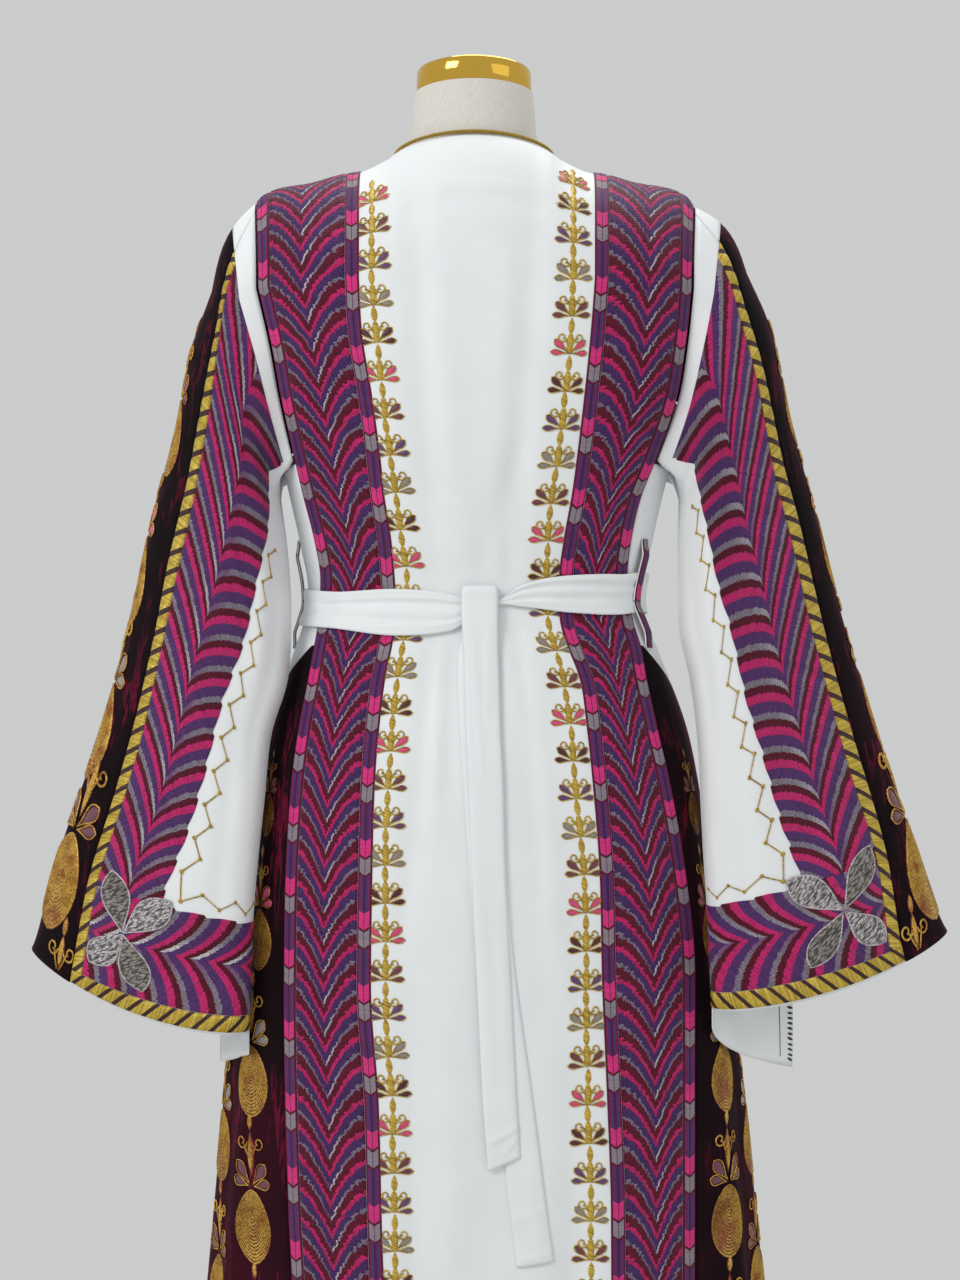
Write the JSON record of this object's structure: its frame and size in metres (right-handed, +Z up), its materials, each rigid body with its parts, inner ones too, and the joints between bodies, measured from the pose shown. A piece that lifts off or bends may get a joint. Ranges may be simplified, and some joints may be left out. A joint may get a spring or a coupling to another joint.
{
  "type": "embroidered thobe on a limbless dress form",
  "caption": "Long belted robe with wide bell sleeves, white crepe back, velvet front and sides and embroidered bands, on a linen torso form with pole and round base.",
  "frame": {"origin": "centre of the underside of the round base", "axes": "+Z up along the pole, +Y towards the front of the dress, so the back with its bands and belt faces -Y, +X to the right as seen from behind"},
  "size_m": [0.8474, 0.3491, 1.555],
  "materials": {
    "crepe": "white crepe with a soft sheen",
    "velvet": "dark aubergine velvet, shading to burgundy",
    "feather_embroidery": "dense satin-stitched feather pattern in pink, violet, grey and burgundy",
    "arrow_border": "satin-stitched arrow border in purple, pink and grey",
    "gold_thread": "gold thread embroidery, cord and trim",
    "linen": "natural linen cover",
    "gold_metal": "polished gold-coloured metal",
    "steel": "brushed steel"
  },
  "bodies": {
    "root": {"form_torso": "linen", "form_neck_cap": "gold_metal", "form_pole": "steel", "form_base": "steel", "back_panel": "crepe", "band_left": "feather_embroidery", "band_right": "feather_embroidery", "border_left_outer": "arrow_border", "border_left_inner": "arrow_border", "border_right_inner": "arrow_border", "border_right_outer": "arrow_border", "side_panel_left": "crepe", "gore_left": "velvet", "side_panel_right": "crepe", "gore_right": "velvet", "front_panel": "velvet", "neck_cord": "gold_thread", "belt_wrap": "crepe", "belt_tail_front": "crepe", "belt_tail_back": "crepe", "belt_knot": "crepe", "belt_loop_left": "feather_embroidery", "belt_loop_right": "feather_embroidery", "sleeve_back_left": "crepe", "sleeve_band_left": "feather_embroidery", "cuff_band_left": "feather_embroidery", "sleeve_trim_left": "gold_thread", "cuff_trim_left": "gold_thread", "sleeve_front_left": "velvet", "sleeve_under_left": "crepe", "sleeve_back_right": "crepe", "sleeve_band_right": "feather_embroidery", "cuff_band_right": "feather_embroidery", "sleeve_trim_right": "gold_thread", "cuff_trim_right": "gold_thread", "sleeve_front_right": "velvet", "sleeve_under_right": "crepe"}
  },
  "joints": []
}
